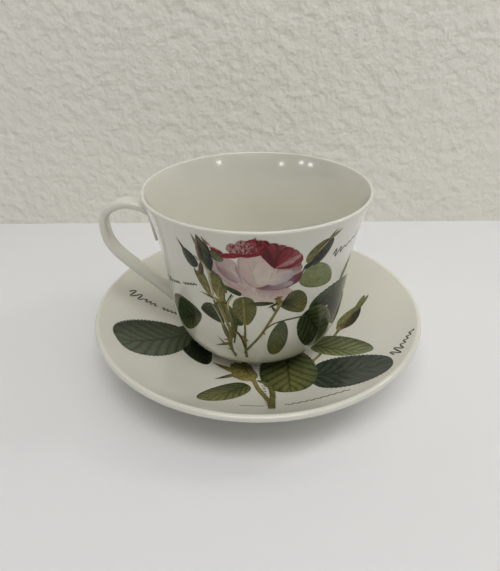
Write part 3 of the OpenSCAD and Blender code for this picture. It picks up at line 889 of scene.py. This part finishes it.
# %% A small spray on the back
back_leaves = Sheet(onto_back)
for base, tip, half, colours, layer in [
    ((-1, 47), (-22, 58), (6.8, 7), (DARK, GREEN, MOSS, DARK), 0),
    ((1.5, 43), (24, 34), (7.4, 7), (DARK, GREEN, DARK, MOSS), 0),
    ((2, 52), (14, 60), (3.8, 4.2), (MOSS, OLIVE, MOSS, OLIVE), 1),
]:
    blade(back_leaves, base, tip, half, colours, layer, full=(0.5, 0.5), teeth=13, bite=0.07,
          cells=(40, 12))
back_leaves.finish("back_spray_leaves", "cup", leaf_pigment, "cup_back_transfer")
back_bud = Sheet(onto_back)
stalk(back_bud, [(2, 26), (-0.5, 38), (1, 52), (2.5, 63)],
      (1.6, 1.3, 1.1, 1.4), (OLIVE, STRAW), 3)
stalk(back_bud, [(-0.6, 40), (-5, 46), (-10, 51)], (0.9, 0.8, 0.6), (OLIVE, MOSS), 2)
for base, tip, half, colours, layer in [
    ((2, 62), (4.5, 79), (4.2, 4.4), (MOSS, SLATE, MOSS, DARK), 4),
    ((2.6, 66), (4.6, 77), (1.4, 1.6), (PLUM, CRIMSON, ROSE, CRIMSON), 5),
    ((2, 62), (-1, 76), (1.6, 1.2), (OLIVE, MOSS, OLIVE, DARK), 6),
    ((2.6, 62), (9, 75), (1.2, 1.6), (OLIVE, MOSS, DARK, OLIVE), 6),
    ((1, 60.6), (4.2, 60.6), (1.4, 1.4), (BROWN, BROWN, STRAW, BROWN), 7),
]:
    blade(back_bud, base, tip, half, colours, layer, full=(0.6, 0.9))
back_bud.finish("back_spray_bud", "cup", stem_pigment, "cup_back_transfer")

# %% Pen flourishes on the cup
def pen_wave(start, end, height, waves, last=1, lean=0.5, weight=1):
    """A leaning, waving pen line whose height goes from height to last times height."""
    start, end = np.array(start, float), np.array(end, float)
    way = end - start
    ahead = way / np.linalg.norm(way)
    side = np.array([-ahead[1], ahead[0]])
    u = np.linspace(0, 1, 16 * waves + 1)
    rise = height / 2 * np.sin(2 * math.pi * waves * u) * (1 + (last - 1) * np.sqrt(u))
    line = start + way * u[:, None] + (side + lean * ahead) * rise[:, None]
    return line, weight * (0.35 + 0.5 * np.abs(np.cos(2 * math.pi * waves * u)))


cup_pen = Sheet(onto_cup)
for line, widths in [pen_wave((-56, 55), (-50, 56.6), 4.6, 2, 0.6), pen_wave((-49, 56.4), (-41, 59), 1.5, 4),
                     pen_wave((-38, 60), (-28.5, 63), 1.2, 5), pen_wave((36.4, 76.6), (43, 77.6), 6, 2, 0.5),
                     pen_wave((43, 77.4), (60, 81.5), 1.8, 5, 0.6)]:
    stalk(cup_pen, line, widths, (INK, INK), 0)
cup_pen.finish("cup_flourishes", "cup", ink_pigment, "cup_flourish_transfer")

# %% [markdown]
# ## The saucer's sprays
# The saucer's transfers are laid on its curved upper face. Its larger leaves show their toothed
# edges, so a saw wave nibbles the blade's width. They carry the full strength of the veins.

# %% Leaves on the saucer
left_leaves = Sheet(onto_saucer)
for base, tip, half, colours, layer, full in [
    ((-44, 1), (-26, -32), (8.2, 8), (DARK, NIGHT, GREEN, DARK), 0, (0.5, 0.6)),
    ((-39, -5), (-71.5, -30), (14.6, 18.2), (GREEN, SLATE, SLATE, DARK), 1, (0.50, 0.38)),
]:
    blade(left_leaves, base, tip, half, colours, layer, full=full, teeth=20, bite=0.08, streak=1,
          cells=(120, 24))
left_leaves.finish("saucer_left_leaves", "saucer", leaf_pigment,
                   "saucer_left_transfer")

spray_leaves = Sheet(onto_saucer)
for base, tip, half, colours, layer, full in [
    ((30, -14.5), (59.5, -31), (12.2, 6.2), (MOSS, SAGE, MOSS, SAGE), 1, (0.36, 0.62)),
    ((27, -43), (64, -48.5), (16, 16.4), (DEEP, DEEP, DEEP, DEEP), 2, (0.34, 0.48)),
    ((16, -18), (15.6, -58), (15.2, 15.4), (GREEN, OLIVE, MOSS, GREEN), 3, (0.42, 0.45)),
    ((-4.6, -49), (-26.4, -68.6), (7.4, 7.6), (GREEN, OLIVE, OLIVE, GREEN), 1, (0.42, 0.52)),
]:
    blade(spray_leaves, base, tip, half, colours, layer, full=full, teeth=19, bite=0.08, streak=1,
          cells=(114, 24))
spray_leaves.finish("saucer_spray_leaves", "saucer", leaf_pigment,
                    "saucer_spray_transfer")

# %% Stems, thorns and the bud on the saucer
saucer_stems = Sheet(onto_saucer)
for points, widths, colours, layer in [
    ([(-2, -44), (0, -52), (3.2, -61), (5.4, -68), (6.2, -76.4)],
     (2.2, 2.4, 2.4, 2.6, 3.2), (STRAW, OLIVE), 4),
    ([(0, -45), (4.8, -49), (7, -58), (6.6, -67), (6, -76.8)],
     (1.4, 2.2, 2.8, 2.8, 3.2), (OLIVE, OLIVE), 5),
    ([(-9, -29), (-7.5, -38), (-2, -45)], (2, 4, 3), (OLIVE, STRAW), 4),
    ([(28, -31), (33, -25), (36, -20), (44, -8), (48, -2)], (1.6, 1.6, 1.5, 1.5, 2), (STRAW, OLIVE), 0),
]:
    stalk(saucer_stems, points, widths, colours, layer)
for base, tip, half, colours, layer, full in [
    ((-1, -44), (-14, -30), (6.4, 5), (STRAW, OLIVE, STRAW, OLIVE), 5, (0.5, 0.8)),
    ((-4, -40), (-7.6, -27), (3.6, 3.2), (STRAW, BROWN, OLIVE, OLIVE), 6, (0.5, 0.8)),
    ((-5, -40.5), (-12.4, -28.6), (2, 2.6), (STRAW, OLIVE, STRAW, BROWN), 7, (0.5, 0.7)),
    ((-3, -42.6), (-13, -41.4), (2.6, 2), (STRAW, OLIVE, STRAW, STRAW), 8, (0.5, 0.9)),
    ((-12, -40), (-21.6, -45.4), (1.4, 1.2), (OLIVE, BROWN, OLIVE, BROWN), 7, (0.4, 1.2)),
    ((-10, -38), (-23.4, -30), (1.7, 1.5), (STRAW, BROWN, OLIVE, OLIVE), 7, (0.4, 1)),
    ((47.4, -3), (62, 14), (5, 5), (OLIVE, OLIVE, SAGE, BROWN), 1, (0.5, 0.9)),
    ((49, -1.8), (61, 12), (0.8, 4.4), (BROWN, DARK, OLIVE, NIGHT), 2, (0.5, 0.8)),
    ((50, 2), (56, 9), (1.2, 1), (OLIVE, STRAW, STRAW, OLIVE), 3, (0.6, 0.8)),
    ((57, 8), (65, 19.6), (1.5, 1.3), (OLIVE, SAGE, OLIVE, SLATE), 3, (0.5, 0.5)),
    ((57.6, 8.4), (67, 18.6), (1.2, 1.3), (OLIVE, SAGE, OLIVE, MOSS), 4, (0.5, 0.6)),
    ((46, -4.4), (50, 0.4), (2.6, 2.4), (STRAW, BROWN, OLIVE, BROWN), 4, (0.6, 0.6)),
]:
    blade(saucer_stems, base, tip, half, colours, layer, full=full, cells=(26, 8))
for i in range(9):
    y = -51 - 2.7 * i
    for root, tip, half in [((5.4, y), (8.6 + 0.5 * (i % 2), y + 1.6), 0.5),
                            ((4.0 + 0.15 * i, y), (1.6 + 0.2 * i, y + 1.2), 0.4)]:
        blade(saucer_stems, root, tip, (half, half), (OLIVE, BROWN, BROWN, BROWN), 6,
              full=(0.15, 1.2), cells=(6, 4))
saucer_stems.finish("saucer_spray_stems", "saucer", stem_pigment,
                    "saucer_spray_transfer")

# %% Pen flourishes on the saucer
saucer_pen = Sheet(onto_saucer)
for line, widths in [pen_wave((-76, 16), (-68, 15), 8.5, 2, 0.6, 0.5, 1),
                     pen_wave((-67.5, 14.6), (-60, 13.4), 3.4, 3, 0.8, 0.4, 0.95),
                     pen_wave((-57, 12.6), (-48, 11.4), 2.6, 4, 0.8, 0.4, 0.95),
                     pen_wave((66, -43), (70.5, -37), 7, 2, 0.7, 0.6, 1.1),
                     pen_wave((71, -37), (79, -27), 2.6, 4, 0.7, 0.5, 1),
                     pen_wave((12, -72.4), (41, -65), 1.4, 9, 1.2, 0.4, 0.9),
                     pen_wave((-8, -72.2), (3, -72.6), 0.9, 5, 0.8, 0.4, 0.7)]:
    stalk(saucer_pen, line, widths, (INK, INK), 0)
saucer_pen.finish("saucer_flourishes", "saucer", ink_pigment,
                  "saucer_flourish_transfer")

# %% [markdown]
# ## Camera, table and light
# The camera stands in front of the saucer and looks down into the cup. A pale table, a pale wall
# close behind and broad soft lamps give the china long, quiet gradients.

# %% Camera
CAMERA_BACK, CAMERA_UP = 0.2165, 0.1423
YAW, PITCH, ROLL = [math.radians(angle) for angle in (-1.02, 31.77, -0.77)]
camera_data = bpy.data.cameras.new("camera")
camera_data.lens, camera_data.sensor_width = 29.25, 36.0
camera_data.clip_start, camera_data.clip_end = 0.01, 20
camera = bpy.data.objects.new("camera", camera_data)
bpy.context.scene.collection.objects.link(camera)
bpy.context.scene.camera = camera
forward = Vector((math.sin(YAW) * math.cos(PITCH), math.cos(YAW) * math.cos(PITCH), -math.sin(PITCH)))
turned = forward.to_track_quat("-Z", "Y").to_matrix().to_4x4() @ Matrix.Rotation(ROLL, 4, "Z")
camera.matrix_world = Matrix.Translation((0, -CAMERA_BACK, SAUCER_H * MM + CAMERA_UP)) @ turned
print("camera at", [round(c, 3) for c in camera.matrix_world.translation], "looks down", math.degrees(PITCH))

# %% Table and wall
STAGE_SIZE, WALL_Y = 3.0, 0.168
TABLE_TONE, WALL_TONE = (0.86, 0.86, 0.86), (0.93, 0.90, 0.815)


def stage_plane(name, matrix, material):
    """A large flat sheet that belongs to the stage, not to the object."""
    bm = bmesh.new()
    bmesh.ops.create_grid(bm, x_segments=2, y_segments=2, size=STAGE_SIZE)
    bmesh.ops.transform(bm, matrix=matrix, verts=bm.verts)
    mesh = bpy.data.meshes.new(name)
    bm.to_mesh(mesh)
    bm.free()
    mesh.materials.append(material)
    plane = bpy.data.objects.new(name, mesh)
    bpy.context.scene.collection.objects.link(plane)
    return plane


def backdrop_material(name, tone):
    """Matt paint."""
    material, tree, shader = new_material(name)
    feed(tree, shader, {"Base Color": (*tone, 1), "Roughness": 0.9})
    return material, tree, shader


table_paint = backdrop_material("table_paint", TABLE_TONE)[0]
table = stage_plane("table", Matrix.Identity(4), table_paint)

wall_paint, tree, shader = backdrop_material("wall_paint", WALL_TONE)
place = add(tree, "ShaderNodeTexCoord").outputs["Object"]
feed(tree, shader, {"Normal": relief(tree, noise(tree, place, 120.0, 3.0, 0.5), 0.9, 0.004)})
# Seen from behind, the wall is clear, so that it hides nothing.
behind = add(tree, "ShaderNodeNewGeometry").outputs["Backfacing"]
clear = add(tree, "ShaderNodeBsdfTransparent").outputs[0]
paint = add(tree, "ShaderNodeMixShader", {0: behind, 1: shader.outputs[0], 2: clear}).outputs[0]
feed(tree, tree.nodes["Material Output"], {"Surface": paint})
wall = stage_plane("wall", Matrix.Translation((0, WALL_Y, 0)) @ Matrix.Rotation(math.pi / 2, 4, "X"),
                   wall_paint)
print("stage:", table.name, wall.name)

# %% [markdown]
# ## Light
# The china is lit as in a room: wide panels give the long gradients, four small far windows give
# the bright points inside the lip, and a weak lamp grazes the plaster. The sky adds little light
# of its own, but looks pale where the camera sees it past the wall.

# %% Lamps and sky
SKY_LIGHT, SKY_SEEN = 0.03, 0.6
CUP_FOOT, CUP_LIP, PLASTER = (0, 0, 0.05), (0, 0, 0.09), (-0.1, 0.16, 0.2)


def area_lamp(name, place, aim, size, power):
    """A rectangular lamp at a place in metres, turned to an aim, with its power in watts."""
    data = bpy.data.lights.new(name, "AREA")
    data.shape, data.size, data.size_y = "RECTANGLE", size[0], size[1]
    data.energy = power
    lamp = bpy.data.objects.new(name, data)
    bpy.context.scene.collection.objects.link(lamp)
    lamp.location = place
    lamp.rotation_euler = (Vector(aim) - Vector(place)).to_track_quat("-Z", "Y").to_euler()
    print(name, power, "W")


area_lamp("ceiling_panel", (0, -0.5, 1.4), CUP_FOOT, (1.0, 0.6), 7.8)
area_lamp("right_panel", (0.9, -0.6, 1.7), CUP_FOOT, (1.4, 1.4), 4.0)
area_lamp("right_window", (1.0, -0.3, 1.1), CUP_FOOT, (0.8, 0.8), 1.1)
area_lamp("front_panel", (0, -1.2, 1.2), CUP_FOOT, (1.0, 1.0), 1.5)
for place in [(1.1, -1.1, 0.66), (-0.8, -1.4, 0.62), (-1.3, -0.95, 0.66), (-1.5, -0.7, 0.6)]:
    area_lamp("far_window", place, CUP_LIP, (0.13, 0.1), 0.5)
area_lamp("wall_washer", (0.6, 0.08, 0.6), PLASTER, (0.1, 0.1), 0.5)
world = bpy.data.worlds.new("soft_room")
bpy.context.scene.world = world
world.use_nodes = True
tree = world.node_tree
seen = add(tree, "ShaderNodeLightPath").outputs["Is Camera Ray"]
feed(tree, tree.nodes["Background"],
     {"Color": (1, 1, 1, 1), "Strength": remap(tree, seen, target=(SKY_LIGHT, SKY_SEEN))})
bpy.context.scene.view_settings.view_transform = "Standard"
